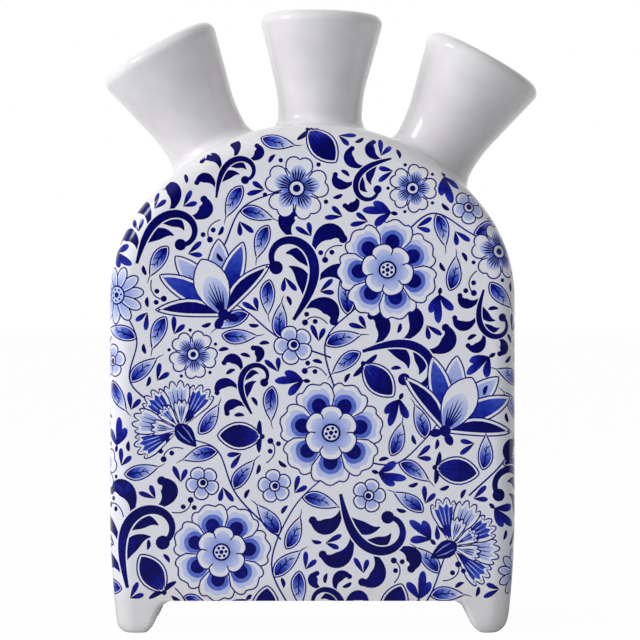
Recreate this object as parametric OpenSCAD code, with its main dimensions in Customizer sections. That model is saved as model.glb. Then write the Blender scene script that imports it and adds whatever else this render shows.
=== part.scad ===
// Flat tulip vase with an arched body, three fanned spouts and four feet, in millimetres.
// It stands on the plane z = 0 and shows its face to -y. The origin is under the middle of its overall width.

/* [Body] */
// Width of the body
body_w = 130; // [124:1:140]
// Height of the arch's spring line above the table
spring_h = 107; // [96:0.5:120]
// Rise of the arch above its spring line
arch_rise = 56.25; // [54:0.25:60]
// Depth of the body, front to back
body_d = 48; // [44:1:60]
// Rounding of the front and back edges of the body
edge_r = 7; // [4:0.5:8]
// Thickness of the body's wall
body_wall = 4.5; // [3.6:0.1:5.6]
// Height below which the sides draw in
tuck_h = 40; // [32:1:50]
// Radius of the drawn-in sides
tuck_r = 300; // [240:5:400]

/* [Floor] */
// Thickness of the floor
floor_t = 5; // [4:0.2:7]

/* [Feet] */
// Height of the feet
foot_h = 10.4; // [8.6:0.2:13]
// Width of a toe, front view
toe_w = 13.6; // [12:0.2:15]
// Depth of a toe, side view
toe_d = 12; // [10:0.2:13]
// Lean of a foot's inner faces, in degrees
foot_lean = 23; // [14:1:26]
// Rounding of the toes
toe_r = 3; // [2:0.1:3.2]
// Fillet where a foot meets the floor
foot_fillet = 2; // [1.2:0.1:2.4]

/* [Spouts] */
// Length of the middle spout above the arch
mid_len = 36.6; // [33:0.2:42]
// Length of the side spouts above the arch
side_len = 38.2; // [33:0.2:42]
// Outer radius of the waist
waist_r = 13.7; // [12.6:0.1:14.6]
// Height of the waist above the arch
waist_h = 3.6; // [3:0.1:5]
// Wall thickness of a spout
spout_wall = 4.4; // [3.8:0.1:4.8]
// Radius of the curve that starts the flare
flare_r = 47; // [38:1:60]
// Half angle of the flare at the lip, in degrees
flare_angle = 13; // [10:0.2:15]
// Radius of the fillet at the root
root_r = 3.9; // [3:0.1:4.6]
// Gap between the roots of the left and middle spouts
gap_left = 0.7; // [0.4:0.1:3]
// Gap between the roots of the middle and right spouts
gap_right = 2.3; // [0.4:0.1:3]
// Wall of the spigot that goes through the body
spigot_wall = 2.4; // [1.8:0.1:3]
// How far a spigot reaches past the wall, inside the body
spigot_reach = 1.6; // [1:0.1:3]
// Angle along the arch from its middle to the middle spout, towards the right, in degrees
seat_mid = 2; // [0:0.2:3]
// Lean of the side spouts, in degrees
side_lean = 29.3; // [28:0.1:33]
// Lean of the middle spout towards the right, in degrees
mid_lean = 1; // [0:0.1:2]

/* [Fits] */
// Slip left between luted pieces
slip = 0.1; // [0.05:0.05:0.3]

/* [Hidden] */
$fn = 200;

glaze_white = [0.91, 0.9, 0.91];
clay_white = [0.87, 0.85, 0.82];
cobalt_white = [0.7, 0.74, 0.88];

// Setting-out lengths are kept to eighths of a millimetre, so that faces that meet do so exactly.
function snap(v) = round(v * 8) / 8;
root_out = waist_r + root_r;
half_w = snap(body_w / 2);
half_d = snap(body_d / 2);
spring_z = snap(spring_h);
tuck_z = snap(tuck_h);
past = half_d / 4;

// Three-centred arch, set out on triangles of 3, 4 and 5 so that the haunches run smoothly into the crown
haunch_x = 4 * snap((half_w - arch_rise) / 2);
haunch_r = half_w - haunch_x;
haunch_sweep = atan2(3, 4);
crown_r = half_w + haunch_x / 4;
crown_z = spring_z - haunch_x * 3 / 4;
crown_top = crown_z + crown_r;
// Overlap of the haunches and the crown, in degrees, that makes them one piece
hair = 0.00001;

// Drawn-in lower sides
tuck_x = half_w - tuck_r;
tuck_start = tuck_r - half_w - past;
tuck_sweep = asin((tuck_z + past) / tuck_start);
tuck_at_toe = tuck_r - sqrt(tuck_r * tuck_r - (tuck_z - toe_r) * (tuck_z - toe_r));

// Spouts from left to right: place along the arch, lean and length
function seat_step(gap) = 2 * asin((root_out + gap / 2) / crown_r);
function seat_angle(k) = k < 0 ? seat_mid - seat_step(gap_left) : k > 0 ? seat_mid + seat_step(gap_right) : seat_mid;
function lean(k) = k == 0 ? mid_lean : k * side_lean;
function spout_len(k) = k == 0 ? mid_len : side_len;
function seat_x(k) = crown_r * sin(seat_angle(k));
function seat_z(k) = crown_z + crown_r * cos(seat_angle(k));

// Section of a spout, along its axis from the point where the axis meets the arch
throat_r = waist_r - spout_wall;
spigot_r = throat_r + spigot_wall;
spigot_len = body_wall + spigot_reach;
lip_r = spout_wall / 2;
flare_start_r = waist_r + flare_r * (1 - cos(flare_angle));
flare_start_h = waist_h + flare_r * sin(flare_angle);
function lip_h(k) = spout_len(k) - lip_r;
function lip_ring_r(k) = flare_start_r - lip_r / cos(flare_angle) + (lip_h(k) - flare_start_h) * tan(flare_angle);

// Overall width between the outer edges of the lips, which sets the middle
function lip_x(k) = seat_x(k) + lip_h(k) * sin(lean(k));
function lip_reach(k) = lip_ring_r(k) * cos(lean(k)) + lip_r;
right_x = max(half_w, lip_x(1) + lip_reach(1));
left_x = min(-half_w, lip_x(-1) - lip_reach(-1));
mid_x = (left_x + right_x) / 2;

// Section from a given start out to an edge with both corners rounded
module slab_section(start, reach, half, r) {
    difference() {
        translate([start, -half])
            square([reach - start, 2 * half]);
        for (side = [-1, 1])
            translate([reach - r, side * (half - r)])
                difference() {
                    translate([0, side < 0 ? -2 * r : 0])
                        square(2 * r);
                    circle(r);
                }
    }
}

// Turns a section about an axis along y, upwards from a starting angle, or downwards if asked
module turned(x, z, from, sweep, down = 0) {
    translate([x, 0, z])
        rotate([90, 0, 0])
            rotate([0, 0, from])
                mirror([0, down, 0])
                    rotate_extrude(angle = sweep)
                        children();
}

// Right-hand box from a given height up
module right_side(low) {
    translate([0, -2 * half_d, low])
        cube([body_w, 4 * half_d, 2 * crown_top]);
}

// Right half of the arched slab, drawn in by an inset all round, from a given height up
module half_slab(inset, low) {
    half = half_d - inset;
    r = max(edge_r - inset, edge_r / 8);
    intersection() {
        union() {
            turned(0, crown_z, haunch_sweep, 90 - haunch_sweep / 2)
                slab_section(0, crown_r - inset, half, r);
            intersection() {
                turned(haunch_x, spring_z, haunch_sweep + hair, 2 * haunch_sweep, 1)
                    slab_section(0, haunch_r - inset, half, r);
                right_side(spring_z);
            }
            translate([0, 0, tuck_z])
                linear_extrude(spring_z - tuck_z)
                    slab_section(-past, half_w - inset, half, r);
            turned(tuck_x, tuck_z, 0, tuck_sweep, 1)
                slab_section(tuck_start, tuck_r - inset, half, r);
        }
        right_side(low);
    }
}

module arch_slab(inset, low) {
    for (side = [0, 1])
        mirror([side, 0, 0])
            half_slab(inset, low);
}

module at_seat(k) {
    translate([seat_x(k), 0, seat_z(k)])
        rotate([0, lean(k), 0])
            children();
}

// Hollow body, open at the bottom, with a hole for each spigot
module body_wall_shape() {
    difference() {
        arch_slab(0, foot_h);
        arch_slab(body_wall, 0);
        for (k = [-1, 0, 1])
            at_seat(k)
                translate([0, 0, -2 * body_wall])
                    cylinder(r = spigot_r + slip, h = 4 * body_wall);
    }
}

module half_space(side) {
    translate([-body_w, side < 0 ? -2 * half_d : 0, 0])
        cube([2 * body_w, 2 * half_d, 2 * crown_top]);
}

module shell(side) {
    intersection() {
        body_wall_shape();
        half_space(side);
    }
}

module front_shell() {
    color(cobalt_white)
        shell(-1);
}

module back_shell() {
    color(cobalt_white)
        shell(1);
}

module floor_slab() {
    color(clay_white)
        intersection() {
            arch_slab(body_wall + slip, foot_h);
            translate([-body_w, -2 * half_d, 0])
                cube([2 * body_w, 4 * half_d, foot_h + floor_t]);
        }
}

// Area inside a flared wall, from the axis out, between two heights
module flare_area(r, curve_r, low, high) {
    end_r = r + curve_r * (1 - cos(flare_angle));
    end_h = waist_h + curve_r * sin(flare_angle);
    top_r = end_r + (high - end_h) * tan(flare_angle);
    translate([0, low])
        square([r, waist_h - low]);
    difference() {
        polygon([[0, waist_h], [r, waist_h], [end_r, end_h], [top_r, high], [0, high]]);
        translate([r + curve_r, waist_h])
            circle(curve_r);
    }
}

// Half section of a spout: wall, rounded lip and filleted root
module spout_section(length, ring_r) {
    difference() {
        flare_area(waist_r, flare_r, -1, length);
        flare_area(throat_r, flare_r + spout_wall, -2, length + 1);
        translate([ring_r, length - lip_r])
            rotate(-flare_angle)
                translate([-length, 0])
                    square([2 * length, length]);
    }
    translate([ring_r, length - lip_r])
        circle(lip_r);
    difference() {
        translate([throat_r, -root_r])
            square([spout_wall + root_r, root_r + waist_h]);
        translate([root_out, waist_h])
            circle(root_r);
    }
}

module spout(k) {
    color(glaze_white) {
        difference() {
            at_seat(k)
                rotate_extrude()
                    spout_section(spout_len(k), lip_ring_r(k));
            arch_slab(-slip, foot_h);
        }
        at_seat(k)
            translate([0, 0, -spigot_len])
                difference() {
                    cylinder(r = spigot_r, h = spigot_len + waist_h / 2);
                    translate([0, 0, -1])
                        cylinder(r = throat_r, h = spigot_len + waist_h);
                }
    }
}

module spout_left() {
    spout(-1);
}

module spout_centre() {
    spout(0);
}

module spout_right() {
    spout(1);
}

// Side of a foot: leaning inner face, filleted at the top, and a toe rounded outside or on both edges
module foot_side(toe, inset, round_both) {
    inner_u = toe - toe_r;
    outer_u = inset + 0.8 * toe_r;
    face_u = inner_u + toe_r / cos(foot_lean) - toe_r * tan(foot_lean);
    fillet_v = foot_h - foot_fillet - 0.3;
    fillet_u = face_u + fillet_v * tan(foot_lean) + foot_fillet / cos(foot_lean);
    difference() {
        polygon([[-2, 0], [face_u, 0],
            [fillet_u - foot_fillet * cos(foot_lean), fillet_v + foot_fillet * sin(foot_lean)],
            [fillet_u, fillet_v], [fillet_u, foot_h], [-2, foot_h]]);
        translate([fillet_u, fillet_v])
            circle(foot_fillet);
        if (round_both)
            translate([inner_u, toe_r])
                difference() {
                    polygon([[0, 0], [1.5 * toe_r * cos(foot_lean), -1.5 * toe_r * sin(foot_lean)],
                        [2 * toe_r, -2 * toe_r], [0, -1.5 * toe_r]]);
                    circle(toe_r);
                }
        translate([outer_u, toe_r])
            difference() {
                translate([-2 * toe_r - inset, -2 * toe_r])
                    square([2 * toe_r + inset, 2 * toe_r]);
                circle(toe_r);
            }
    }
}

// Foot under the front left corner
module foot_shape() {
    intersection() {
        mirror([1, 0, 0])
            half_slab(0, -1);
        translate([-half_w, 0, 0])
            rotate([90, 0, 0])
                linear_extrude(half_d + 1)
                    foot_side(toe_w, tuck_at_toe, true);
        translate([-half_w - 1, -half_d, 0])
            rotate([90, 0, 90])
                linear_extrude(half_w)
                    foot_side(toe_d, 0, false);
    }
}

module foot(right, back) {
    color(glaze_white)
        mirror([right, 0, 0])
            mirror([0, back, 0])
                foot_shape();
}

module foot_front_left() {
    foot(0, 0);
}

module foot_front_right() {
    foot(1, 0);
}

module foot_back_left() {
    foot(0, 1);
}

module foot_back_right() {
    foot(1, 1);
}

translate([-mid_x, 0, 0]) {
    front_shell();
    back_shell();
    floor_slab();
    spout_left();
    spout_centre();
    spout_right();
    foot_front_left();
    foot_front_right();
    foot_back_left();
    foot_back_right();
}
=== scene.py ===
# Flat tulip vase of white glazed earthenware with a cobalt flower print, a fan of three spouts and four feet.
import math
import bpy
import numpy as np
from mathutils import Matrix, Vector, geometry, kdtree


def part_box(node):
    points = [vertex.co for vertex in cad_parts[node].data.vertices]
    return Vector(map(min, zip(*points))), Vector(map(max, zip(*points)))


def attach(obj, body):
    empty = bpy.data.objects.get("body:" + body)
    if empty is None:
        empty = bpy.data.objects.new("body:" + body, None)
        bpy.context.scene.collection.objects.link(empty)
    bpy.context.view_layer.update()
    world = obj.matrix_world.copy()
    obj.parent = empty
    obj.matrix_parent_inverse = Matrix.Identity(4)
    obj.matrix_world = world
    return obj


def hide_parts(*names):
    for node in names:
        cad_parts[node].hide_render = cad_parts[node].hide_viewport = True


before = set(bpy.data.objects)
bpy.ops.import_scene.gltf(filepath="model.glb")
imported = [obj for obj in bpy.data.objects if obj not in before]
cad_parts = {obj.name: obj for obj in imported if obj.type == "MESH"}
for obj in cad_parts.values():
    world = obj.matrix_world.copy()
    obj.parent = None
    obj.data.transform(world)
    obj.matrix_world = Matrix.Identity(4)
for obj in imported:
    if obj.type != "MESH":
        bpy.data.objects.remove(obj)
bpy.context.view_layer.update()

# Body: two half shells of white earthenware, cast with a wall of 4.5 mm and luted along the side wall.
# The slab has straight sides that draw in at the bottom, a three-centred arch and edges rounded to 7 mm.
# The print wraps round the edges, so each shell is drawn as a flat sheet, in mm, and then laid on its form.
MM = 0.001
low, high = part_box("front_shell")
body_x = (low.x + high.x) / 2
half_w, half_d, edge_r, wall = 65.0, 24.0, 7.0, 4.5
foot_h, tuck_z, tuck_r = 10.4, 40.0, 300.0
spring_z, haunch_x, haunch_r = 107.0, 17.5, 47.5
crown_z, crown_r = 93.875, 69.375
# The haunches meet the crown where its radius rises 3 in 4
meet_slope, meet_turn = 0.75, math.atan2(3, 4)
edge_arc = edge_r * math.pi / 2
seam_t = edge_arc + half_d - edge_r

# Spouts from left to right: angle along the crown, lean and length, with the holes for their spigots
seats = [(-27.99, -29.3, 38.2), (2.0, 1.0, 36.6), (33.35, 29.3, 38.2)]
spigot_r, slip = 11.7, 0.1
hole_r = spigot_r + slip


def past_edge(u, v):
    """How far a point of the sheet lies past the start of the rounded edge, and the circle it lies on."""
    a = np.abs(u)
    crown = v - crown_z >= meet_slope * a
    haunch = ~crown & (v >= spring_z)
    tuck = v < tuck_z
    which = [crown, haunch, tuck]
    cx = np.select(which, [0.0, haunch_x, half_w - tuck_r], 0.0)
    cz = np.select(which, [crown_z, spring_z, tuck_z], v)
    big = np.select(which, [crown_r, haunch_r, tuck_r], half_w)
    du, dv = a - cx, v - cz
    r = np.maximum(np.hypot(du, dv), 1e-9)
    return r - big + edge_r, cx, cz, big, r, du / r, dv / r


def laid_on(sheet):
    """Lays points of the sheet, in mm, on the outside of the body: their places and outward directions."""
    u, v = sheet[:, 0], sheet[:, 1]
    t, cx, cz, big, r, du, dv = past_edge(u, v)
    side = np.where(u < 0, -1.0, 1.0)
    turn = np.clip(t / edge_r, 0, math.pi / 2)
    out = np.where(t <= 0, r, big - edge_r + edge_r * np.sin(turn))
    y = -half_d + edge_r * (1 - np.cos(turn)) + np.maximum(t - edge_arc, 0)
    place = np.stack([side * (cx + out * du), y, cz + out * dv], 1)
    facing = np.stack([side * du * np.sin(turn), -np.cos(turn), dv * np.sin(turn)], 1)
    return place, facing


def outline_at(t, step):
    """Line on the sheet, t past the start of the rounded edge, from bottom right to bottom left."""
    out = tuck_r - edge_r + (t if t <= 0 else edge_r * math.sin(min(t / edge_r, math.pi / 2)))
    low_turn = -math.asin((tuck_z - foot_h) / out)
    right = []
    for cx, cz, r, start, end in (
            (half_w - tuck_r, tuck_z, tuck_r - edge_r + t, low_turn, 0.0),
            (haunch_x, spring_z, haunch_r - edge_r + t, 0.0, meet_turn),
            (0.0, crown_z, crown_r - edge_r + t, meet_turn, math.pi / 2)):
        n = max(3, round(abs(end - start) * r / step))
        a = np.linspace(start, end, n + 1)
        if cx > 0:
            n = round((spring_z - tuck_z) / step)
            z = np.linspace(tuck_z, spring_z, n + 1)[1:-1]
            right.append(np.stack([np.full(len(z), half_w - edge_r + t), z], 1))
        arc = np.stack([cx + r * np.cos(a), cz + r * np.sin(a)], 1)
        right.append(arc[:-1] if cx > 0 else arc)
    right = np.concatenate(right)
    return np.concatenate([right, right[-2::-1] * [-1, 1]])


def crown_hit(across, r, seat, lean):
    """Where lines beside a spout's axis start, and how far along they meet a crown of radius r."""
    along, tilt = math.radians(seat), math.radians(lean)
    x = crown_r * math.sin(along) + across * math.cos(tilt)
    z = crown_r * math.cos(along) - across * math.sin(tilt)
    b = x * math.sin(tilt) + z * math.cos(tilt)
    return x, z, -b + np.sqrt(np.maximum(b * b - x * x - z * z + r * r, 0))


def hole_line(seat, lean):
    """Edge of the half hole for a spigot, on the flat sheet, from right to left."""
    a = np.linspace(0, math.pi, 25)
    x, z, run = crown_hit(hole_r * np.cos(a), crown_r, seat, lean)
    tilt = math.radians(lean)
    turn = np.arctan2(x + run * math.sin(tilt), z + run * math.cos(tilt))
    r = crown_r - edge_r + seam_t - hole_r * np.sin(a)
    return np.stack([r * np.sin(turn), crown_z + r * np.cos(turn)], 1)


def sheet_edge(mirror):
    """Outline of the flat sheet: the seam with its spigot holes, and the bottom edge."""
    seam = outline_at(seam_t, 2.0)
    # Points of the seam closer to a hole than this turn are left out, as they would make slivers
    spare, crown_from = 0.008, spring_z + 20
    for seat, lean, _ in seats:
        hole = hole_line(seat, lean)
        if mirror:
            hole = hole[::-1] * [-1, 1]
        turn = np.arctan2(seam[:, 0], seam[:, 1] - crown_z)
        ends = np.arctan2(hole[[0, -1], 0], hole[[0, -1], 1] - crown_z)
        on_crown = seam[:, 1] > crown_from
        before = on_crown & (turn > ends[0] + spare) | (~on_crown & (seam[:, 0] > 0))
        after = on_crown & (turn < ends[1] - spare) | (~on_crown & (seam[:, 0] < 0))
        seam = np.concatenate([seam[before], hole, seam[after]])
    side = np.array([outline_at(t, 50.0)[0] for t in np.linspace(seam_t, 0, 16)[1:]])
    flat = np.linspace(side[-1, 0], -side[-1, 0], 30)[1:-1]
    flat = np.stack([flat, np.full(len(flat), foot_h)], 1)
    return np.concatenate([side[::-1], seam, side * [-1, 1], flat[::-1]])


# Print: a cobalt flower pattern under the glaze, drawn from the common flowers of blue and white ware.
# Each shape is one wash or line, laid over the ones before it, with an amount of cobalt from 0 to 1.
# The amount may run evenly from the base of a petal to its tip, as a wash of the brush does.
shapes = []
chance = np.random.default_rng(11)


def wash(points, at, tone, tip=None, reach=1.0):
    """One closed shape in the flower's own measure, placed at (u, v, turn, size)."""
    u, v, turn, size = at
    c, s = math.cos(turn), math.sin(turn)
    p = np.asarray(points, float) * size
    flat = np.stack([u + p[:, 0] * c - p[:, 1] * s, v + p[:, 0] * s + p[:, 1] * c], 1)
    slope = 0.0 if tip is None else (tip - tone) / (reach * size)
    shapes.append((flat, tone - slope * (u * c + v * s), slope * c, slope * s))


def stroke(path, width, at, tone):
    """One stroke of the brush along a path, as wide as the widths say."""
    path = np.asarray(path, float)
    d = np.gradient(path, axis=0)
    d /= np.maximum(np.hypot(d[:, 0], d[:, 1]), 1e-9)[:, None]
    off = np.stack([-d[:, 1], d[:, 0]], 1) * (np.broadcast_to(width, len(path)) / 2)[:, None]
    wash(np.concatenate([path + off, (path - off)[::-1]]), at, tone)


def moved(at, x, y, turn, size=1.0):
    """A place x, y away from another, in its measure, turned further."""
    u, v, t, k = at
    c, s = math.cos(t), math.sin(t)
    return (u + k * (x * c - y * s), v + k * (x * s + y * c), t + turn, k * size)


def petal(length, width, belly=0.55, blunt=0.6, bend=0.0, n=10):
    """Petal or leaf along x: where its belly lies, how blunt its ends are and how far it bends."""
    s = (1 - np.cos(np.linspace(0, math.pi, n))) / 2
    half = width / 2 * np.abs(np.sin(math.pi * s ** (math.log(0.5) / math.log(belly)))) ** blunt
    x, mid = length * s, bend * length * s * s
    return np.concatenate([np.stack([x, mid - half], 1), np.stack([x, mid + half], 1)[-2:0:-1]])


def frill(radius, spread, lobes, depth, base=0.12, n=17):
    """Petal that fans out from near the origin to a rim of shallow lobes."""
    a = np.linspace(-1, 1, n)
    notch = depth * (1 - np.abs(np.sin(lobes * math.pi / 2 * (a + 1))) ** 0.6)
    r = radius * (1 - notch) * (1 - 0.22 * np.abs(a) ** 3.5)
    rim = np.stack([r * np.cos(a * spread), r * np.sin(a * spread)], 1)
    return np.concatenate([[[base * radius, 0]], rim])


def inside(points, gap):
    """A closed line drawn in by a gap all round."""
    p = np.asarray(points, float)
    d = np.roll(p, -1, 0) - np.roll(p, 1, 0)
    d /= np.maximum(np.hypot(d[:, 0], d[:, 1]), 1e-9)[:, None]
    area = np.sum(p[:, 0] * np.roll(p[:, 1], -1) - p[:, 1] * np.roll(p[:, 0], -1))
    return p + np.stack([-d[:, 1], d[:, 0]], 1) * (gap if area > 0 else -gap)


def spot(radius, x=0.0, y=0.0, n=10):
    """Round dot."""
    a = np.linspace(0, 2 * math.pi, n, endpoint=False)
    return np.stack([x + radius * np.cos(a), y + radius * np.sin(a)], 1)


def outlined(edge, at, tone=0.0, tip=None, reach=1.0, rim=0.0):
    """A petal drawn with a fine pen line, with a wash inside it that leaves a rim bare."""
    pen = 0.48 / at[3]
    wash(edge, at, 0.88)
    wash(inside(edge, pen), at, 0.0)
    if tone:
        wash(inside(edge, pen + rim), at, tone, tip, reach)


def peony(at):
    """Round flower: seven frilled petals in three washes, round a ring of plain ones."""
    for i in range(7):
        f = moved(at, 0, 0, 2 * math.pi * i / 7)
        outlined(frill(1.0, 0.53, 3, 0.1), f)
        wash(frill(0.88, 0.41, 3, 0.07, 0.3), f, 0.34, 0.12, 0.88)
        wash(petal(0.52, 0.44, 0.62, 0.5) + [0.26, 0], f, 0.66, 0.46, 0.78)
        wash(petal(0.4, 0.28, 0.62, 0.5) + [0.3, 0], f, 1.0, 0.9)
    for i in range(6):
        f = moved(at, 0, 0, 2 * math.pi * (i + 0.3) / 6)
        outlined(frill(0.52, 0.6, 1, 0.05), f)
        wash(petal(0.32, 0.3, 0.5, 0.5) + [0.1, 0], f, 0.5, 0.1, 0.4)
    wash(spot(0.18, n=16), at, 0.97)
    wash(spot(0.14, n=14), at, 0.05)
    for i in range(6):
        a = i * math.pi / 3
        wash(spot(0.033, 0.092 * math.cos(a), 0.092 * math.sin(a), 6), at, 0.95)
    wash(spot(0.045, n=8), at, 0.97)


def tulip(at):
    """Tulip from the side: pale petals at the back, dark ones beside, and a white one rayed from its base."""
    for turn, length, width, bend, tone, tip in (
            (0.2, 1.0, 0.34, 0.1, 0.55, 0.16), (-0.2, 1.0, 0.34, -0.1, 0.55, 0.16),
            (0.46, 0.98, 0.32, 0.16, 1.0, 0.5), (-0.46, 0.98, 0.32, -0.16, 1.0, 0.5),
            (0.74, 0.84, 0.27, 0.36, 1.0, 0.95), (-0.74, 0.84, 0.27, -0.36, 1.0, 0.95),
            (0.0, 0.8, 0.46, 0.0, 0.0, None)):
        f = moved(at, 0, 0, turn)
        outlined(petal(length, width, 0.56, 0.66, bend, 13), f, tone, tip, length, 0.03)
        if tone == 0.55:
            s = np.linspace(0.3, 0.7, 6)
            stroke(np.stack([length * s, bend * length * s * s + 0.05 * np.sin(math.pi * s)], 1),
                   [0.01, 0.016, 0.02, 0.02, 0.014, 0.006], f, 0.85)
    wash(petal(0.5, 0.3, 0.5, 0.6) + [0.06, 0], at, 0.5, 0.06, 0.55)
    for b in (-0.26, -0.15, -0.05, 0.05, 0.15, 0.26):
        reach = np.linspace(0.1, 0.5 - 0.7 * abs(b), 5)
        stroke(np.stack([reach, b * reach * 1.2], 1), [0.014, 0.022, 0.02, 0.014, 0.005], at, 0.97)
    for turn in (2.2, -2.2):
        wash(petal(0.2, 0.11, 0.6, 0.6), moved(at, 0.02, 0, turn), 0.97)
    wash(spot(0.075, 0.03, 0, 12), at, 0.98)


def carnation(at):
    """Fan of toothed petals, dark and pale by turns, on a slim calyx."""
    for radius, count, spread in ((1.0, 5, 1.25), (0.62, 3, 0.75)):
        for i in (0, count - 1, *range(1, count - 1)):
            f = moved(at, 0.08, 0, spread * (2 * i / (count - 1) - 1))
            edge = frill(radius, spread / count * 1.5, 4, 0.12, 0.05, 25)
            dark = (i + (radius < 1)) % 2 == 0
            outlined(edge, f, 1.0 if dark else 0.6, 0.62 if dark else 0.1, radius * 0.9, 0.06)
            reach = np.linspace(0.45, 0.8, 4) * radius
            for a in (-0.12, 0.0, 0.12):
                ray = np.stack([reach * math.cos(a), reach * math.sin(a)], 1)
                stroke(ray, [0.01, 0.024, 0.02, 0.006], f, 0.3 if dark else 0.9)
    wash(petal(0.6, 0.36, 0.62, 0.6) - [0.38, 0], at, 0.98)
    for y in (-0.07, 0.07):
        stroke([[-0.24, y * 0.5], [-0.05, y], [0.12, y]], [0.01, 0.03, 0.01], at, 0.4)


def blossom(at):
    """Open flower with five notched petals, rayed from a ringed middle, and a dot between each two petals."""
    for i in range(5):
        f = moved(at, 0, 0, (i + 0.5) * 2 * math.pi / 5)
        wash(spot(0.075, 0.98, 0, 7), f, 0.97)
    for i in range(5):
        f = moved(at, 0, 0, i * 2 * math.pi / 5)
        outlined(frill(1.0, 0.63, 2, 0.1, 0.1, 15), f)
        wash(petal(0.62, 0.5, 0.5, 0.5) + [0.1, 0], f, 0.66, 0.1, 0.72)
        for a in (-0.36, -0.18, 0.0, 0.18, 0.36):
            reach = np.array([0.26, 0.44, 0.66 - 0.3 * abs(a)])
            stroke(np.stack([reach * math.cos(a), reach * math.sin(a)], 1), [0.035, 0.055, 0.012], f, 0.98)
    wash(spot(0.27, n=14), at, 0.97)
    wash(spot(0.21, n=14), at, 0.05)
    wash(spot(0.12, n=10), at, 0.97)


def daisy(at):
    """Flower with eleven slim petals round a dark eye."""
    for i in range(11):
        f = moved(at, 0, 0, i * 2 * math.pi / 11)
        outlined(petal(1.0, 0.42, 0.66, 0.5), f, 0.5, 0.06, 0.9, 0.035)
    wash(spot(0.34, n=16), at, 0.97)
    wash(spot(0.28, n=16), at, 0.2)
    for i in range(7):
        a = i * 2 * math.pi / 7
        wash(spot(0.045, 0.19 * math.cos(a), 0.19 * math.sin(a), 6), at, 0.97)
    wash(spot(0.1, n=9), at, 0.98)


def floret(at):
    """Small flower with five round petals and a dark eye."""
    for i in range(5):
        f = moved(at, 0, 0, i * 2 * math.pi / 5)
        outlined(petal(1.0, 0.9, 0.64, 0.48), f)
        wash(petal(0.6, 0.56, 0.6, 0.5) + [0.18, 0], f, 0.36, 0.1)
    wash(spot(0.34, n=12), at, 0.97)
    wash(spot(0.25, n=10), at, 0.0)
    wash(spot(0.18, 0.03, 0, n=9), at, 0.98)


def bud(at):
    """Closed bud, dark at the tip and paler at the base, with fine veins, held in two small sepals."""
    edge = petal(1.0, 0.64, 0.5, 0.66, 0.0, 13)
    outlined(edge, at, 0.62, 1.15, 0.8, 0.034)
    for y in (-0.2, -0.1, 0.0, 0.1, 0.2):
        s = np.linspace(0.08, 0.62 - 0.6 * abs(y), 5)
        stroke(np.stack([s, 1.2 * y * np.sin(math.pi * s)], 1), [0.012, 0.024, 0.02, 0.014, 0.005], at, 0.98)
    for side in (-1, 1):
        wash(petal(0.34, 0.13, 0.6, 0.6, 0.4 * side), moved(at, 0.0, 0, 1.0 * side), 0.97)
    wash(spot(0.06, n=8), at, 0.97)


def leaf(at, bend=0.25):
    """Pointed leaf in outline, dark at the base and washed out to the tip, with fishbone veins."""
    edge = petal(1.0, 0.46, 0.42, 0.8, bend, 12)
    outlined(edge, at, 1.0, 0.06, 0.85, 0.02)
    s = np.linspace(0.1, 0.72, 7)
    rib = np.stack([s, bend * s * s], 1)
    stroke(rib, [0.05, 0.05, 0.045, 0.04, 0.03, 0.025, 0.01], at, 0.98)
    for k, side in ((2, 1), (3, -1), (4, 1), (5, -1)):
        tip = rib[k] + [0.12, 0.1 * side]
        stroke([rib[k], (rib[k] + tip) / 2, tip], [0.03, 0.034, 0.01], at, 0.97)
    stroke([[0.98, bend], [1.07, bend * 1.16], [1.18, bend * 1.5]], [0.03, 0.03, 0.012], at, 0.95)


def curl(length, start, wind, n, power=2.0):
    """Line that winds tighter towards its end."""
    s = np.linspace(0, 1, n)
    heading = start + wind * s ** power
    step = length / (n - 1)
    line = np.stack([np.cos(heading), np.sin(heading)], 1) * step
    return np.concatenate([[[0, 0]], np.cumsum(line[:-1], 0)])


def spray(at, side=1):
    """Scroll of leafy strokes with round heads, off a stem that curls up and is set off by a bare line."""
    stem = curl(2.0, -0.55 * side, 4.7 * side, 40, 2.2)
    for k, length, turn, wind in ((3, 0.7, -0.45, -2.6), (6, 0.62, 0.4, 1.5), (11, 0.82, -0.45, -2.8),
                                  (15, 0.55, 0.45, 1.6), (19, 0.74, -0.5, -2.8), (26, 0.56, -0.55, -2.6)):
        d = stem[k + 1] - stem[k]
        f = moved(at, stem[k][0], stem[k][1], math.atan2(d[1], d[0]) + turn * side)
        tongue = curl(length, 0.0, wind * side, 20, 1.7)
        s = np.linspace(0, 1, 20)
        if wind > 0:
            stroke(tongue, 0.02 + 0.18 * np.sin(math.pi * s ** 1.1) ** 1.3, f, 0.99)
        else:
            stroke(tongue, 0.035 + 0.17 * np.sin(math.pi * s ** 1.55) ** 1.6 + 0.06 * s, f, 0.99)
            wash(spot(0.064, *tongue[-1], 11), f, 0.99)
    s = np.linspace(0, 1, 40)
    broad = 0.05 + 0.08 * np.sin(math.pi * s ** 0.8) ** 1.5 + 0.03 * s
    stroke(stem[:30], broad[:30] + 0.04, at, 0.0)
    stroke(stem, broad, at, 0.99)
    wash(spot(0.1, *stem[-1], 12), at, 0.99)


def sprig(at, bend=0.3):
    """Three fingers of the brush from one point, paler towards their tips."""
    for turn, length in ((0.6 + bend, 0.72), (-0.6 + bend, 0.72), (0.0, 1.0)):
        wash(petal(length, 0.29, 0.66, 0.5, bend * 0.6, 9), moved(at, 0, 0, turn), 1.0, 0.7, length)
    wash(petal(0.26, 0.15, 0.5, 0.6), moved(at, 0.02, 0, math.pi), 1.0)


def pair(at):
    """Two fingers of the brush that meet in a point."""
    for turn, length in ((0.42, 1.0), (-0.42, 0.8)):
        wash(petal(length, 0.3, 0.68, 0.5, 0.0, 8), moved(at, 0, 0, turn), 1.0, 0.75, length)


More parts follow.
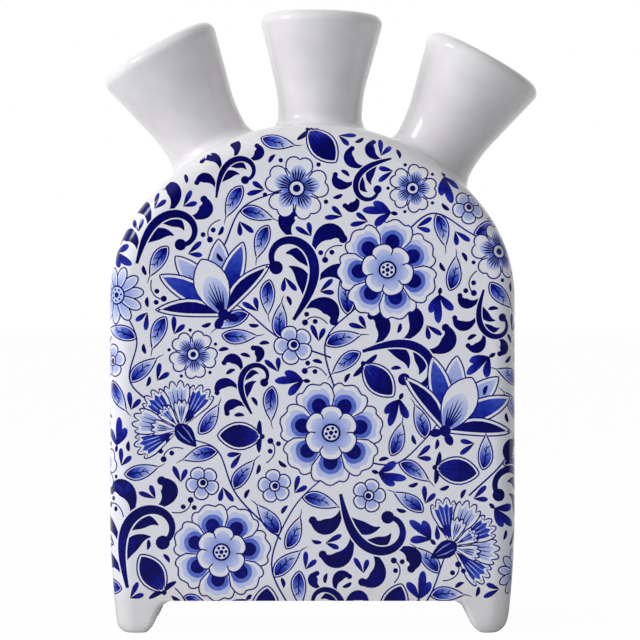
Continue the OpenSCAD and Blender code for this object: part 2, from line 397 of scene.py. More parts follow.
def berries(at):
    """Fine curled stem with a berry at its end and two beside it."""
    stem = curl(1.0, -0.5, 2.0, 14, 1.4)
    stroke(stem, 0.4 / at[3], at, 0.95)
    wash(spot(0.12, *stem[-1], 9), at, 0.98)
    for k, side in ((5, 1), (9, -1)):
        d = stem[k + 1] - stem[k]
        tip = stem[k] + np.array([d[0] - d[1] * 1.6 * side, d[1] + d[0] * 1.6 * side]) / np.hypot(*d) * 0.11
        wash(spot(0.1, *tip, 8), at, 0.98)


def twig(at, side=1):
    """Fine stem with three leaves."""
    stem = curl(0.62, -0.3 * side, 1.1 * side, 12, 1.2)
    stroke(stem, 0.42 / at[3], at, 0.95)
    for k, turn in ((4, -0.9), (8, 0.9), (10, 0.0)):
        d = stem[k + 1] - stem[k]
        leaf(moved(at, stem[k][0], stem[k][1], math.atan2(d[1], d[0]) + turn * side, 0.5), 0.2 * side)


def comma(at):
    """Single touch of the brush."""
    wash(petal(1.0, 0.46, 0.6, 0.5, 0.3, 8), at, 0.97)


def dots(at):
    """Three dots."""
    for i in range(3):
        a = 2 * math.pi * i / 3
        wash(spot(0.42, 0.95 * math.cos(a), 0.95 * math.sin(a), 7), at, 0.97)


def stem_through(points, width=0.6):
    """Smooth stem through a few points of the sheet."""
    p = np.asarray(points, float)
    p = np.concatenate([[2 * p[0] - p[1]], p, [2 * p[-1] - p[-2]]])
    line = []
    for i in range(1, len(p) - 2):
        s = np.linspace(0, 1, 9)[:-1, None]
        a, b, c, d = p[i - 1:i + 3]
        line.append(0.5 * (2 * b + (c - a) * s + (2 * a - 5 * b + 4 * c - d) * s ** 2
                           + (3 * b - a - 3 * c + d) * s ** 3))
    line = np.concatenate(line + [p[-2:-1]])
    stroke(line, np.linspace(width, width * 0.7, len(line)), (0, 0, 0, 1), 0.88)
    return line


def leaves_on(line, spots, size):
    """Leaves on alternate sides of a stem."""
    for i, s in enumerate(spots):
        k = min(int(s * (len(line) - 1)), len(line) - 2)
        d = line[k + 1] - line[k]
        side = 1 if i % 2 else -1
        leaf((line[k][0], line[k][1], math.atan2(d[1], d[0]) + 0.85 * side, size), 0.2 * side)


# Stems first, then the flowers on them
leaves_on(stem_through([(-6, 6), (-13, 22), (-6, 40), (6, 52)]), (0.25, 0.5, 0.75), 12.0)
leaves_on(stem_through([(-10, 30), (-24, 44), (-30, 58), (-38, 62)]), (0.4, 0.7), 11.5)
leaves_on(stem_through([(10, 70), (4, 92), (14, 104), (22, 112)]), (0.36, 0.62), 12.0)
leaves_on(stem_through([(6, 88), (-10, 94), (-20, 102), (-26, 106)]), (0.35, 0.7), 11.5)
leaves_on(stem_through([(12, 56), (26, 54), (36, 62), (42, 70)]), (0.4, 0.7), 11.5)
leaves_on(stem_through([(33, 5), (38, 13), (41, 21), (43, 27)]), (0.3, 0.62), 11.0)
leaves_on(stem_through([(26, 124), (38, 134), (50, 128), (60, 122)]), (0.4, 0.72), 11.0)
leaves_on(stem_through([(-28, 124), (-22, 136), (-8, 142)]), (0.45,), 11.0)
leaves_on(stem_through([(-46, 70), (-58, 80), (-56, 94), (-62, 106)]), (0.35, 0.7), 11.5)
leaves_on(stem_through([(50, 44), (62, 56), (70, 72), (74, 88)]), (0.3, 0.6), 11.5)
spray((-6, 100, 1.55, 22.0), 1)
spray((16, 90, -0.25, 20.0), -1)
spray((-59, 14.5, 1.25, 23.0), -1)
spray((9, 44.5, -0.8, 21.0), 1)
spray((-56, 118, 0.75, 19.0), -1)
spray((64, 28, 1.5, 21.0), 1)
peony((6, 64, 0.2, 17.0))
peony((24, 116, 0.5, 16.5))
peony((-29, 26, 0.1, 16.0))
tulip((-28, 101, 1.95, 25.0))
tulip((42, 64, 1.1, 25.0))
carnation((-41, 64, 2.3, 16.0))
carnation((43, 27, 0.5, 16.0))
blossom((-5, 142, 0.2, 10.5))
blossom((60, 122, 0.4, 9.5))
daisy((-63, 108, 0.1, 9.5))
blossom((-72, 53, 0.3, 9.5))
daisy((75, 90, 0.0, 9.5))
floret((-6, 92, 0.7, 6.5))


crown_print, side_print, spouts_end = 5.0, 26.0, 46


def print_limit(u, v):
    """How far past the start of the rounded edge the print goes: short of the spouts, else to the seam."""
    turn = np.degrees(np.abs(np.arctan2(u, v - crown_z)))
    over_crown = np.clip(crown_print + (turn - spouts_end), crown_print, side_print)
    return np.where(v > crown_z, over_crown, side_print)


# What is left is filled from large to small, each filler turned to where it has most room.
# Above the feet, which begin at a distance from the middle, the print keeps clear of the bottom edge.
feet_from = 44.0
grid = np.stack(np.meshgrid(np.arange(-86.0, 87.0), np.arange(8.0, 186.0)), -1).reshape(-1, 2)
u, v = grid.T
room = print_limit(u, v) - past_edge(u, v)[0]
room = np.where(np.abs(u) > feet_from, np.minimum(room, v - foot_h), room)
grid, room = grid[room > 1.0], room[room > 1.0]


def lines_drawn():
    """The painted lines so far, and the tops of the feet, for finding the nearest one to a place."""
    beside = np.arange(feet_from + 2.0, 90.0)
    tops = [np.stack([side * beside, np.full(len(beside), foot_h)], 1) for side in (-1, 1)]
    marks = np.concatenate([shape[0] for shape in shapes] + tops)
    tree = kdtree.KDTree(len(marks))
    for i, p in enumerate(marks):
        tree.insert((p[0], p[1], 0), i)
    tree.balance()
    return tree


def behind(p, a, back):
    """A place a little behind another, for a filler that starts at its stalk."""
    return p[0] - back * math.cos(a), p[1] - back * math.sin(a), a


# Room that a filler needs, its half length, its least spacing, and the filler itself
least_gap = 0.5
fillers = [(8.6, 8.4, 30, lambda p, a: spray((*behind(p, a, 9), 13.5), 1 if p[0] > 0 else -1)),
           (8.4, 0.0, 26, lambda p, a: blossom((*p, a, 8.0)) if p[1] > 70 else daisy((*p, a, 8.0))),
           (5.4, 7.2, 37, lambda p, a: bud((*behind(p, a, 7), 14.5))),
           (6.2, 0.0, 20, lambda p, a: floret((*p, a, 5.6))),
           (4.8, 7.6, 18, lambda p, a: twig((*behind(p, a, 7.5), 17.0), 1 if p[1] > 60 else -1)),
           (4.0, 6.4, 14, lambda p, a: leaf((*behind(p, a, 6.2), 11.4), 0.18)),
           (2.9, 4.6, 9, lambda p, a: sprig((*behind(p, a, 4.2), 9.2), 0.15)),
           (3.2, 4.0, 16, lambda p, a: berries((*behind(p, a, 4), 8.5))),
           (2.4, 2.8, 8, lambda p, a: pair((*behind(p, a, 2.8), 5.8))),
           (2.8, 0.0, 15, lambda p, a: dots((*p, a, 1.3))),
           (1.9, 1.6, 6, lambda p, a: comma((*behind(p, a, 1.5), 3.2)))]
for need, half, apart, draw in fillers:
    taken = []
    for _ in range(3):
        drawn = lines_drawn()
        free = np.minimum([drawn.find((*p, 0))[2] for p in grid], room + least_gap)
        fresh = []
        for k in np.argsort(-free, kind="stable"):
            if free[k] < need:
                break
            p = grid[k]
            close = any(np.hypot(*(p - q)) < apart for q in taken)
            if close or any(np.hypot(*(p - q)) < 2 * half + 1.5 for q in fresh):
                continue
            turns = []
            for a in chance.uniform(0, 2 * math.pi) + np.linspace(0, 2 * math.pi, 14, endpoint=False):
                d = np.array([math.cos(a), math.sin(a)])
                ends = [drawn.find((*(p + d * half * e), 0))[2] for e in (-1.0, -0.5, 0.5, 1.0)]
                turns.append((min(ends), a))
            # It is drawn, and taken away again where it runs into something
            for _, a in sorted(turns, reverse=True)[:6]:
                before = len(shapes)
                draw(p, a)
                if min(drawn.find((*q, 0))[2] for line, *_ in shapes[before:] for q in line) > least_gap:
                    taken.append(p)
                    fresh.append(p)
                    break
                del shapes[before:]
        if not fresh:
            break


# Glaze: the vase is dipped in a tin-white gloss glaze and fired, over the cobalt that is on the shells.
# It is smooth glass with a slight unevenness, so highlights are sharp and waver a little.
def hex_colour(text):
    """Linear colour from an sRGB hex value."""
    s = np.array([int(text[i:i + 2], 16) / 255 for i in (1, 3, 5)])
    return (*np.where(s <= 0.04045, s / 12.92, ((s + 0.055) / 1.055) ** 2.4), 1.0)


def add_node(tree, kind, links=(), **settings):
    """Adds a shader node, with its settings, its socket values and its links from other sockets."""
    added = tree.nodes.new(kind)
    for name, value in settings.items():
        if name.startswith("in_"):
            added.inputs[name[3:].replace("_", " ")].default_value = value
        else:
            setattr(added, name, value)
    for socket, source in links:
        tree.links.new(source, added.inputs[socket])
    return added


ground_tint = 0.02


def glaze(name, cobalt):
    """Fired tin-white gloss glaze: smooth glass with a breath of tone and, under it, the cobalt."""
    material = bpy.data.materials.new(name)
    material.use_nodes = True
    tree = material.node_tree
    tree.nodes.clear()
    where = add_node(tree, "ShaderNodeTexCoord").outputs["Object"]
    # Unevenness of the glaze coat, about 9 mm across, and its fine skin, about 1.6 mm
    coat = add_node(tree, "ShaderNodeTexNoise", [("Vector", where)], in_Scale=1 / (9 * MM), in_Detail=2.0)
    skin = add_node(tree, "ShaderNodeTexNoise", [("Vector", where)], in_Scale=1 / (1.6 * MM), in_Detail=3.0)
    white = add_node(tree, "ShaderNodeValToRGB", [("Fac", coat.outputs["Fac"])])
    thin, thick = white.color_ramp.elements
    thin.position, thin.color = 0.3, hex_colour("#dfdde0")
    thick.position, thick.color = 0.7, hex_colour("#e8e6e8")
    colour = white.outputs["Color"]
    if cobalt:
        # Cobalt bleeds a little into the glaze, so its amount varies over about 1.6 mm and 9 mm
        amount = add_node(tree, "ShaderNodeAttribute", attribute_name="cobalt").outputs["Fac"]
        drift = add_node(tree, "ShaderNodeMath", [(0, skin.outputs["Fac"]), (1, coat.outputs["Fac"])],
                         operation="ADD")
        uneven = add_node(tree, "ShaderNodeMapRange", [("Value", drift.outputs[0])],
                          in_From_Min=0.6, in_From_Max=1.4, in_To_Min=0.84, in_To_Max=1.12)
        amount = add_node(tree, "ShaderNodeMath", [(0, amount), (1, uneven.outputs["Result"])],
                          operation="MULTIPLY", use_clamp=True).outputs[0]
        # From the tinted ground through pale washes to the full strength of the pigment
        blue = add_node(tree, "ShaderNodeValToRGB", [("Fac", amount)])
        palest, darkest = blue.color_ramp.elements
        palest.position, palest.color = 0.017, hex_colour("#eeeff8")
        darkest.position, darkest.color = 1.0, hex_colour("#040458")
        for position, value in ((0.023, "#e8e9f4"), (0.1, "#ccd6f8"), (0.3, "#96a8ea"), (0.48, "#5a71d4"),
                                (0.62, "#2d45bc"), (0.76, "#131d9a"), (0.9, "#070a72")):
            blue.color_ramp.elements.new(position).color = hex_colour(value)
        painted = add_node(tree, "ShaderNodeMapRange", [("Value", amount)], in_From_Max=ground_tint)
        mixed = add_node(tree, "ShaderNodeMix", [("Factor", painted.outputs["Result"]), ("A", colour),
                                                 ("B", blue.outputs["Color"])], data_type="RGBA")
        colour = mixed.outputs["Result"]
    gloss = add_node(tree, "ShaderNodeMapRange", [("Value", skin.outputs["Fac"])],
                     in_To_Min=0.07, in_To_Max=0.16)
    wave = add_node(tree, "ShaderNodeBump", [("Height", coat.outputs["Fac"])],
                    in_Strength=0.12, in_Distance=0.4 * MM)
    peel = add_node(tree, "ShaderNodeBump",
                    [("Height", skin.outputs["Fac"]), ("Normal", wave.outputs["Normal"])],
                    in_Strength=0.05, in_Distance=0.1 * MM)
    fired = add_node(tree, "ShaderNodeBsdfPrincipled",
                     [("Base Color", colour), ("Roughness", gloss.outputs["Result"]),
                      ("Normal", peel.outputs["Normal"])], in_IOR=1.52)
    add_node(tree, "ShaderNodeOutputMaterial", [("Surface", fired.outputs["BSDF"])])
    return material


print_glaze = glaze("Cobalt print under tin white glaze", True)
white_glaze = glaze("Tin white gloss glaze", False)


# Shells: each sheet is cut into triangles along every line of the print, so that a triangle has one wash.
# It is laid on the form of the body, and an inside skin and a rim close it to a cast shell of even thickness.
def triangulated(points, edges):
    """Triangles between points with the given edges kept, all wound the same way: places, triangles."""
    verts, _, faces, *_ = geometry.delaunay_2d_cdt([tuple(p) for p in points], edges, [], 0, 1e-4)
    verts, faces = np.array([tuple(v) for v in verts]), np.array(faces)
    corner = verts[faces]
    turned = np.cross(corner[:, 1] - corner[:, 0], corner[:, 2] - corner[:, 0]) < 0
    faces[turned] = faces[turned][:, ::-1]
    return verts, faces


def within(points, line):
    """Winding test: which points lie inside a closed line."""
    a, b = line, np.roll(line, -1, 0)
    px, py = points[:, 0][:, None], points[:, 1][:, None]
    up = (a[:, 1] <= py) & (b[:, 1] > py)
    down = (a[:, 1] > py) & (b[:, 1] <= py)
    left = (b[:, 0] - a[:, 0]) * (py - a[:, 1]) - (px - a[:, 0]) * (b[:, 1] - a[:, 1])
    return ((up & (left > 0)).sum(1) - (down & (left < 0)).sum(1)) != 0


def edge_loop(faces):
    """The open edge of a sheet of triangles, in order."""
    ends = np.concatenate([faces[:, [0, 1]], faces[:, [1, 2]], faces[:, [2, 0]]])
    there = set(map(tuple, ends.tolist()))
    following = {a: b for a, b in there if (b, a) not in there}
    loop = [next(iter(following))]
    while following[loop[-1]] != loop[0]:
        loop.append(following[loop[-1]])
    return loop


def closed(count, first):
    """Edges of a closed line of points, numbered from the first."""
    return [(first + i, first + (i + 1) % count) for i in range(count)]


def cobalt_of(corner):
    """Amount of cobalt at the corners of triangles: the last shape laid on a triangle gives its wash."""
    middle = corner.mean(1)
    u, v = middle.T
    order = np.argsort(u)
    across = u[order]
    top = np.full(len(corner), -1)
    for i, (line, *_) in enumerate(shapes):
        (low_u, low_v), (high_u, high_v) = line.min(0), line.max(0)
        near = order[np.searchsorted(across, low_u):np.searchsorted(across, high_u)]
        near = near[(v[near] > low_v) & (v[near] < high_v)]
        if len(near):
            top[near[within(middle[near], line)]] = i
    bare = (0.0, 0.0, 0.0)
    base, along_u, along_v = np.array([shape[1:] for shape in shapes] + [bare])[top].T[:, :, None]
    cobalt = np.clip(base + along_u * corner[:, :, 0] + along_v * corner[:, :, 1], 0, 1)
    overrun = 0.8
    cobalt[past_edge(u, v)[0] > print_limit(u, v) + overrun] = 0
    # A breath of cobalt tints the ground of the print, and fades out towards the crown and the feet
    u, v = corner[:, :, 0], corner[:, :, 1]
    crown_fade, foot_fade, at_foot = 9, 8, 0.25
    fade = np.clip((print_limit(u, v) - past_edge(u, v)[0]) / crown_fade, 0, 1)
    fade *= np.clip((v - foot_h) / foot_fade, at_foot, 1)
    return np.maximum(cobalt, ground_tint * fade)


def decorated_shell(name, node, mirror):
    """One half of the body, with the print on its outside."""
    edge = sheet_edge(mirror)
    lines = [edge]
    # Rings round the rounded edge and along the side wall, and a coarse grid on the flat face
    for t in np.linspace(0, edge_arc, 10).tolist() + [15.0, 19.5, 24.0]:
        ring = outline_at(t, 2.4)[1:-1]
        lines.append(ring[within(ring, inside(edge, 0.4))])
    u, v = grid.T
    mesh_step = 7
    lines.append(grid[(u % mesh_step < 1) & (v % mesh_step < 1) & (past_edge(u, v)[0] < -1)])
    edges = closed(len(edge), 0)
    count = sum(map(len, lines))
    for line, *_ in shapes:
        lines.append(line)
        edges += closed(len(line), count)
        count += len(line)
    points, faces = triangulated(np.concatenate(lines), edges)
    faces = faces[within(points[faces].mean(1), edge)]
    cobalt = cobalt_of(points[faces])
    used = np.unique(faces)
    renumber = np.full(len(points), -1)
    renumber[used] = np.arange(len(used))
    points, faces = points[used], renumber[faces]
    # Inside skin of the shell, with the same edge
    loop = edge_loop(faces)
    inner = [points[loop]]
    for t in np.linspace(0, edge_arc, 5).tolist() + [18.0]:
        ring = outline_at(t, 5.0)[1:-1]
        inner.append(ring[within(ring, inside(edge, 1.2))])
    inner_points, inner_faces = triangulated(np.concatenate(inner), closed(len(loop), 0))
    inner_faces = inner_faces[within(inner_points[inner_faces].mean(1), points[loop])][:, ::-1]
    place, facing = laid_on(points)
    inner_place, inner_facing = laid_on(inner_points)
    inner_place = inner_place - wall * inner_facing
    inner_place[:, 2] = np.maximum(inner_place[:, 2], foot_h)
    # The rim between the two skins
    first, around = len(points), len(loop)
    rim = []
    for i in range(around):
        j = (i + 1) % around
        rim += [(loop[j], loop[i], first + i), (loop[j], first + i, first + j)]
    rim = np.array(rim)
    verts = np.concatenate([place, inner_place])
    tris = np.concatenate([faces, inner_faces + first, rim])
    rim_facing = np.cross(verts[rim[:, 1]] - verts[rim[:, 0]], verts[rim[:, 2]] - verts[rim[:, 0]])
    rim_facing /= np.maximum(np.linalg.norm(rim_facing, axis=1), 1e-12)[:, None]
    normals = np.concatenate([facing[faces], -inner_facing[inner_faces],
                              np.repeat(rim_facing[:, None], 3, 1)])
    # Sheet of the bake: the outside takes most of it, and the rest a corner that the arch leaves free
    sheet_corner, sheet_size = [-88, 8], 178
    outer_uv = (points - sheet_corner) / sheet_size
    inner_uv = (inner_points - sheet_corner) / sheet_size * 0.09 + [0.005, 0.9]
    uv = np.concatenate([outer_uv, inner_uv])[tris]
    along_edge = np.full(len(verts), -1)
    along_edge[loop] = np.arange(around)
    along_edge[first:first + around] = np.arange(around)
    uv[-len(rim):] = inner_uv[along_edge[rim]]
    # The back shell is the front one turned half round, with its holes the other way
    turn = -1.0 if mirror else 1.0
    verts[:, :2] *= turn
    normals[:, :, :2] *= turn
    mesh = bpy.data.meshes.new(name)
    mesh.from_pydata((verts * MM + [body_x, 0, 0]).tolist(), [], tris.tolist())
    mesh.attributes.new("cobalt", "FLOAT", "CORNER").data.foreach_set(
        "value", np.concatenate([cobalt.ravel(), np.zeros(3 * (len(tris) - len(faces)))]))
    mesh.uv_layers.new(name="OFBake").data.foreach_set("uv", uv.ravel())
    mesh.polygons.foreach_set("use_smooth", np.ones(len(tris), bool))
    mesh.normals_split_custom_set(normals.reshape(-1, 3).tolist())
    mesh.materials.append(print_glaze)
    mesh.update()
    shell = bpy.data.objects.new(name, mesh)
    bpy.context.collection.objects.link(shell)
    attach(shell, "root")
    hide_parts(node)


decorated_shell("decorated_front", "front_shell", False)
decorated_shell("decorated_back", "back_shell", True)


# Floor: a flat slab of the same earthenware, luted in between the walls above the feet.
# Its edge follows the inside of the body with a hair of slip, and its rims are softened by the glaze.
def wrapped(name, node, rings):
    """A skin of clay wrapped round: one ring of points after another, closed where points meet."""
    bpy.ops.object.select_all(action="DESELECT")
    rows, around = rings.shape[:2]
    bpy.ops.mesh.primitive_grid_add(x_subdivisions=around - 1, y_subdivisions=rows - 1)
    piece = bpy.context.object
    piece.name = piece.data.name = name
    piece.data.vertices.foreach_set("co", (rings.reshape(-1, 3) * MM + [body_x, 0, 0]).ravel())
    bpy.ops.object.mode_set(mode="EDIT")
    bpy.ops.mesh.select_all(action="SELECT")
    bpy.ops.mesh.remove_doubles(threshold=0.00001)
    bpy.ops.mesh.normals_make_consistent(inside=False)
    bpy.ops.object.mode_set(mode="OBJECT")
    bpy.ops.object.shade_smooth_by_angle(angle=math.radians(42))
    piece.data.materials.append(white_glaze)
    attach(piece, "root")
    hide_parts(node)


def slab_ring(half_long, half_deep, r, z):
    """Rounded rectangle at a height."""
    a = np.linspace(0, 2 * math.pi, slab_points)
    c, s = np.cos(a), np.sin(a)
    x = np.sign(c) * (half_long - r) * (np.abs(c) > 1e-6) + r * c
    y = np.sign(s) * (half_deep - r) * (np.abs(s) > 1e-6) + r * s
    x, y = np.append(x[:-1], x[0]), np.append(y[:-1], y[0])
    return np.stack([x, y, np.full(len(x), z)], 1)


floor_half_w, floor_half_d, floor_t, floor_r, soft = 58.9, 19.4, 5.0, 2.5, 0.8
slab_points = 97
rings = [np.repeat([[0.0, 0.0, foot_h]], slab_points, 0)]
rounding = [(soft * (1 - math.sin(a)), soft * (1 - math.cos(a))) for a in np.linspace(0, math.pi / 2, 5)]
for inset, up in [(20.0, 0.0)] + rounding:
    rings.append(slab_ring(floor_half_w - inset, floor_half_d - min(inset, 15.0), max(floor_r - inset, 0.3),
                           foot_h + up))
for ring in rings[:0:-1]:
    rings.append(ring * [1, 1, -1] + [0, 0, 2 * foot_h + floor_t])
rings.append(np.repeat([[0.0, 0.0, foot_h + floor_t]], slab_points, 0))
wrapped("glazed_floor", "floor_slab", np.array(rings))

# Spouts: thrown on the wheel, with a narrow waist, a flared mouth and a full lip, and luted over the holes.
# The root is blended on to the crown with a wet sponge, and a spigot goes through the wall to the inside.
# The lip is fuller on the outside than on the inside, and stands a little proud of the flare.
waist_r, waist_h, spout_wall, flare_r, flare = 13.7, 3.6, 4.4, 47.0, math.radians(13)
lip_out, lip_depth, lip_in = 3.3, 2.8, 1.1
root_out, throat_r = 17.6, 9.3
spigot_top, spigot_end, spigot_soft = -2.4, -6.1, 0.5


def crown_height(r, cos_a, sin_a, seat, lean):
    """Height along a spout's axis at which a ring of lines round it meets the crown and its rounded edges."""
    over = np.clip(np.abs(r * sin_a) - (half_d - edge_r), 0, edge_r)
    crown = crown_r - edge_r + np.sqrt(edge_r ** 2 - over ** 2)
    return crown_hit(r * cos_a, crown, seat, lean)[2]


def flared(r, curve_r, turns):
    """Points on the curve that starts the flare, from a waist of radius r."""
    return [(r + curve_r * (1 - math.cos(a)), waist_h + curve_r * math.sin(a)) for a in turns]


def lip_roll(length, r, depth, turns):
    """Points on a roll of the lip, whose middle lies a depth inside the flare."""
    start_r, start_h = flared(waist_r, flare_r, [flare])[0]
    across = start_r + ((length - r - start_h) * math.sin(flare) - depth) / math.cos(flare)
    return [(across + r * math.cos(a), length - r + r * math.sin(a)) for a in turns]


def between(start, end):
    """Points along a straight stretch, without its ends."""
    return [(start[0] + (end[0] - start[0]) * k, start[1] + (end[1] - start[1]) * k)
            for k in np.linspace(0, 1, 9)[1:-1]]


around = np.linspace(0, 2 * math.pi, 121)
around[-1] = 0.0
cos_a, sin_a = np.cos(around), np.sin(around)
for side, (seat, lean, length) in zip(("left", "centre", "right"), seats):
    # Outer wall from the waist up, round the lip and down the throat to the end of the spigot
    outside = flared(waist_r, flare_r, np.linspace(0, flare, 9))
    lip = lip_roll(length, lip_out, lip_depth, np.linspace(-flare, math.pi / 2, 13))
    lip += lip_roll(length, lip_in, spout_wall - lip_in, np.linspace(math.pi / 2, math.pi - flare, 9)[1:])
    throat = flared(throat_r, flare_r + spout_wall, np.linspace(flare, 0, 9))
    spigot = [(throat_r, 0.0), (throat_r, spigot_end + spigot_soft), (throat_r + spigot_soft, spigot_end),
              (spigot_r - spigot_soft, spigot_end), (spigot_r, spigot_end + spigot_soft),
              (spigot_r, spigot_top)]
    profile = outside + between(outside[-1], lip[0]) + lip + between(lip[-1], throat[0]) + throat + spigot
    # Root: from the waist it swells out and runs on to the crown, and its edge turns in under the surface
    probe = 0.25
    meet = crown_height(root_out, cos_a, sin_a, seat, lean)
    slope = (crown_height(root_out + probe, cos_a, sin_a, seat, lean) - meet) / probe
    drop = waist_h - meet
    spread = root_out - waist_r
    root = []
    for k in np.linspace(0, 1, 15):
        b0, b1, b2, b3 = (1 - k) ** 3, 3 * k * (1 - k) ** 2, 3 * k * k * (1 - k), k ** 3
        r = b0 * waist_r + b1 * waist_r + b2 * (root_out - 0.6 * spread) + b3 * root_out
        h = b0 * waist_h + b1 * (waist_h - 0.5 * drop) + b2 * (meet - 0.6 * spread * slope) + b3 * meet
        root.append((r, h))
    under = crown_height(root_out - 0.4, cos_a, sin_a, seat, lean) - 0.35
    along, tilt = math.radians(seat), math.radians(lean)
    rings = []
    for r, h in profile[:0:-1] + root + [(root_out - 0.3, under), profile[-1]]:
        x = crown_r * math.sin(along) + r * cos_a * math.cos(tilt) + h * math.sin(tilt)
        z = crown_z + crown_r * math.cos(along) - r * cos_a * math.sin(tilt) + h * math.cos(tilt)
        rings.append(np.stack([x, r * sin_a, z], 1))
    wrapped("glazed_spout_" + side, "spout_" + side, np.array(rings))

# Feet: four small stubs of the same clay, luted under the corners flush with the sides and the faces.
# They taper, with a soft fillet under the floor, and their toes are rounded and sponged flat to stand on.
toe_w, toe_d, toe_lean, toe_r, fillet = 13.6, 12.0, math.radians(23), 3.0, 3.0
# Height where the taper starts, and the rounding of the corners at the back and at the inner front
lean_from, stub_r, front_r = 1.2, 3.4, 2.2


def foot_ring(z, worn):
    """Outline at a height of a front right foot, a rounded four-sided stub with its toe worn round."""
    away = toe_r - math.sqrt(max(toe_r ** 2 - max(toe_r - z, 0) ** 2, 0))
    tuck = tuck_r - math.sqrt(tuck_r ** 2 - (tuck_z - z) ** 2)
    lean_in = max(z - lean_from, 0) * math.tan(toe_lean)
    under = foot_h - fillet
    swell = 0.0 if z < under else fillet - math.sqrt(max(fillet ** 2 - (z - under) ** 2, 0))
    # The toe is worn round up to 6.5 mm on its outside and 5 mm on its inside
    x1 = half_w - tuck - away * 0.9 - worn * max(1 - z / 6.5, 0) ** 2
    y0 = -half_d + away * 0.9
    x0 = half_w - toe_w - lean_in + away * 0.8 - swell + 0.7 * worn * max(1 - z / 5, 0) ** 2
    y1 = -half_d + toe_d + lean_in - away * 0.8 + swell
    outer_r = edge_r - away * 0.6
    fit = min(1.0, 0.97 * (x1 - x0) / (outer_r + stub_r), 0.97 * (y1 - y0) / (outer_r + stub_r))
    ring = []
    for x, y, r, start in ((x1, y0, outer_r * fit, -90), (x1, y1, stub_r * fit, 0),
                           (x0, y1, stub_r * fit, 90), (x0, y0, front_r * fit, 180)):
        middle_x = x - math.copysign(r, x - (x0 + x1) / 2)
        middle_y = y - math.copysign(r, y - (y0 + y1) / 2)
        for a in np.radians(np.linspace(start, start + 90, 16)):
            ring.append((middle_x + r * math.cos(a), middle_y + r * math.sin(a), z))
    return np.array(ring + ring[:1])


heights = [0.0, 0.1, 0.3, 0.6, 1.0, 1.5, 2.1, 3.0, 4.2, 5.6, 7.0, 8.4, 8.9, 9.4, 9.8, 10.1, 10.3, foot_h]
for front, y in (("front", 1), ("back", -1)):
    for side, x, worn in (("left", -1, 0.2), ("right", 1, 1.4)):
        stub = [foot_ring(z, worn) for z in heights]
        toe, cap = (np.repeat([ring[:-1].mean(0)], len(ring), 0) for ring in (stub[0], stub[-1]))
        rings = np.array([toe] + stub + [cap]) * [x, y, 1]
        wrapped(f"glazed_foot_{front}_{side}", f"foot_{front}_{side}", rings)


# Studio: a sheet of white paper on the table that runs back into a white ground.
# To the camera it is white with a trace of the vase's shadow, and the glaze mirrors its near part as grey.
def shown_white(tree, depth, near, far):
    """How far a ray finds plain white: wholly for the camera's own, and for reflections towards the back."""
    path = add_node(tree, "ShaderNodeLightPath").outputs
    seen = add_node(tree, "ShaderNodeMath", [(0, path["Is Camera Ray"]), (1, path["Is Transmission Ray"])],
                    operation="MAXIMUM")
    back = add_node(tree, "ShaderNodeMapRange", [("Value", depth)], interpolation_type="SMOOTHSTEP",
                    in_From_Min=near, in_From_Max=far)
    shine = add_node(tree, "ShaderNodeMath", [(0, path["Is Glossy Ray"]), (1, back.outputs["Result"])],
                     operation="MULTIPLY")
    return add_node(tree, "ShaderNodeMath", [(0, seen.outputs[0]), (1, shine.outputs[0])],
                    operation="MAXIMUM").outputs[0]


bpy.ops.object.select_all(action="DESELECT")
bpy.ops.mesh.primitive_plane_add(size=40, location=(0, 0, -0.0002))
floor = bpy.context.object
floor.name = "studio_floor"
paper = bpy.data.materials.new("White studio paper")
paper.use_nodes = True
tree = paper.node_tree
tree.nodes.clear()
place = add_node(tree, "ShaderNodeTexCoord").outputs["Object"]
depth = add_node(tree, "ShaderNodeSeparateXYZ", [("Vector", place)]).outputs["Y"]
share = add_node(tree, "ShaderNodeMath", [(0, shown_white(tree, depth, -0.05, 0.3))], operation="MULTIPLY")
share.inputs[1].default_value = 0.98
# The paper itself is light grey; in the glaze's reflections it is painted a darker grey, a painted reflection
mirrored = add_node(tree, "ShaderNodeLightPath").outputs["Is Glossy Ray"]
paper_and_painted_reflection = add_node(tree, "ShaderNodeMix", [("Factor", mirrored)], data_type="RGBA",
                 in_A=hex_colour("#e6e6e6"), in_B=hex_colour("#6e6e6e"))
matt = add_node(tree, "ShaderNodeBsdfDiffuse", [("Color", paper_and_painted_reflection.outputs["Result"])])
glow = add_node(tree, "ShaderNodeEmission", in_Color=(1, 1, 1, 1), in_Strength=1.0)
both = add_node(tree, "ShaderNodeMixShader",
                [("Fac", share.outputs[0]), (1, matt.outputs[0]), (2, glow.outputs[0])])
add_node(tree, "ShaderNodeOutputMaterial", [("Surface", both.outputs[0])])
floor.data.materials.append(paper)

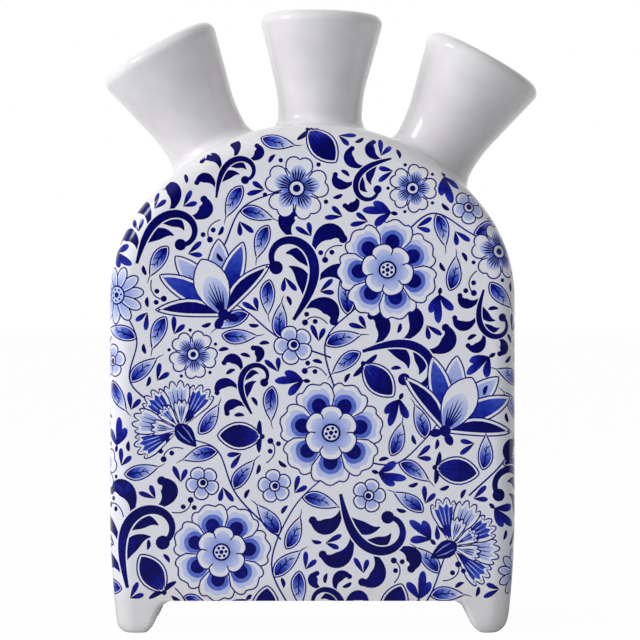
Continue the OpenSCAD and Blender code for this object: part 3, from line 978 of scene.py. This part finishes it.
# Room: white to the camera and in reflections towards the back, and a dim light all round otherwise.
# Behind the camera it is dark, so that the face of the vase doesn't mirror a pale wall.
world = bpy.data.worlds.new("White studio")
bpy.context.scene.world = world
world.use_nodes = True
tree = world.node_tree
tree.nodes.clear()
ray = add_node(tree, "ShaderNodeTexCoord").outputs["Generated"]
depth = add_node(tree, "ShaderNodeSeparateXYZ", [("Vector", ray)]).outputs["Y"]
dim = add_node(tree, "ShaderNodeMapRange", [("Value", depth)], interpolation_type="SMOOTHSTEP",
               in_From_Min=-0.95, in_From_Max=-0.55, in_To_Min=0.03, in_To_Max=0.29)
level = add_node(tree, "ShaderNodeMath",
                 [(0, shown_white(tree, depth, 0.1, 0.7)), (1, dim.outputs["Result"])], operation="MAXIMUM")
sky = add_node(tree, "ShaderNodeBackground", [("Strength", level.outputs[0])], in_Color=(1, 1, 1, 1))
add_node(tree, "ShaderNodeOutputWorld", [("Surface", sky.outputs[0])])

# Lamps: a large soft light from the upper left for the whole vase, and a small one further to the side.
# The glaze mirrors only the small one, in narrow highlights, as it would a window.
aim = Vector((0, 0, 0.1))
for name, place, wide, tall, power in (("key_softbox", (-0.964, -0.809, 0.917), 1.7, 1.5, 18.9),
                                       ("side_softbox", (-1.234, -0.308, 0.895), 0.44, 0.4, 4.8)):
    lamp = bpy.data.lights.new(name, "AREA")
    lamp.shape, lamp.size, lamp.size_y, lamp.energy = "RECTANGLE", wide, tall, power
    light = bpy.data.objects.new(name, lamp)
    bpy.context.collection.objects.link(light)
    light.location = place
    light.visible_glossy = name == "side_softbox"
    light.rotation_euler = (aim - light.location).to_track_quat("-Z", "Y").to_euler()

# Camera: level, one metre in front of the vase and at half its height.
# At that distance 1 mm of the vase is 3.06 pixels of a frame 640 pixels wide.
sensor_w, frame_w, pixels_per_metre = 36.0, 640, 3060
eye = bpy.data.cameras.new("camera")
eye.sensor_width, eye.clip_start = sensor_w, 0.01
eye.lens = sensor_w * pixels_per_metre / frame_w
camera = bpy.data.objects.new("camera", eye)
bpy.context.collection.objects.link(camera)
camera.location = (body_x + 2.45 * MM, -1.0, 0.1)
camera.rotation_euler = (math.pi / 2, 0, 0)
bpy.context.scene.camera = camera
bpy.context.scene.view_settings.view_transform = "Standard"
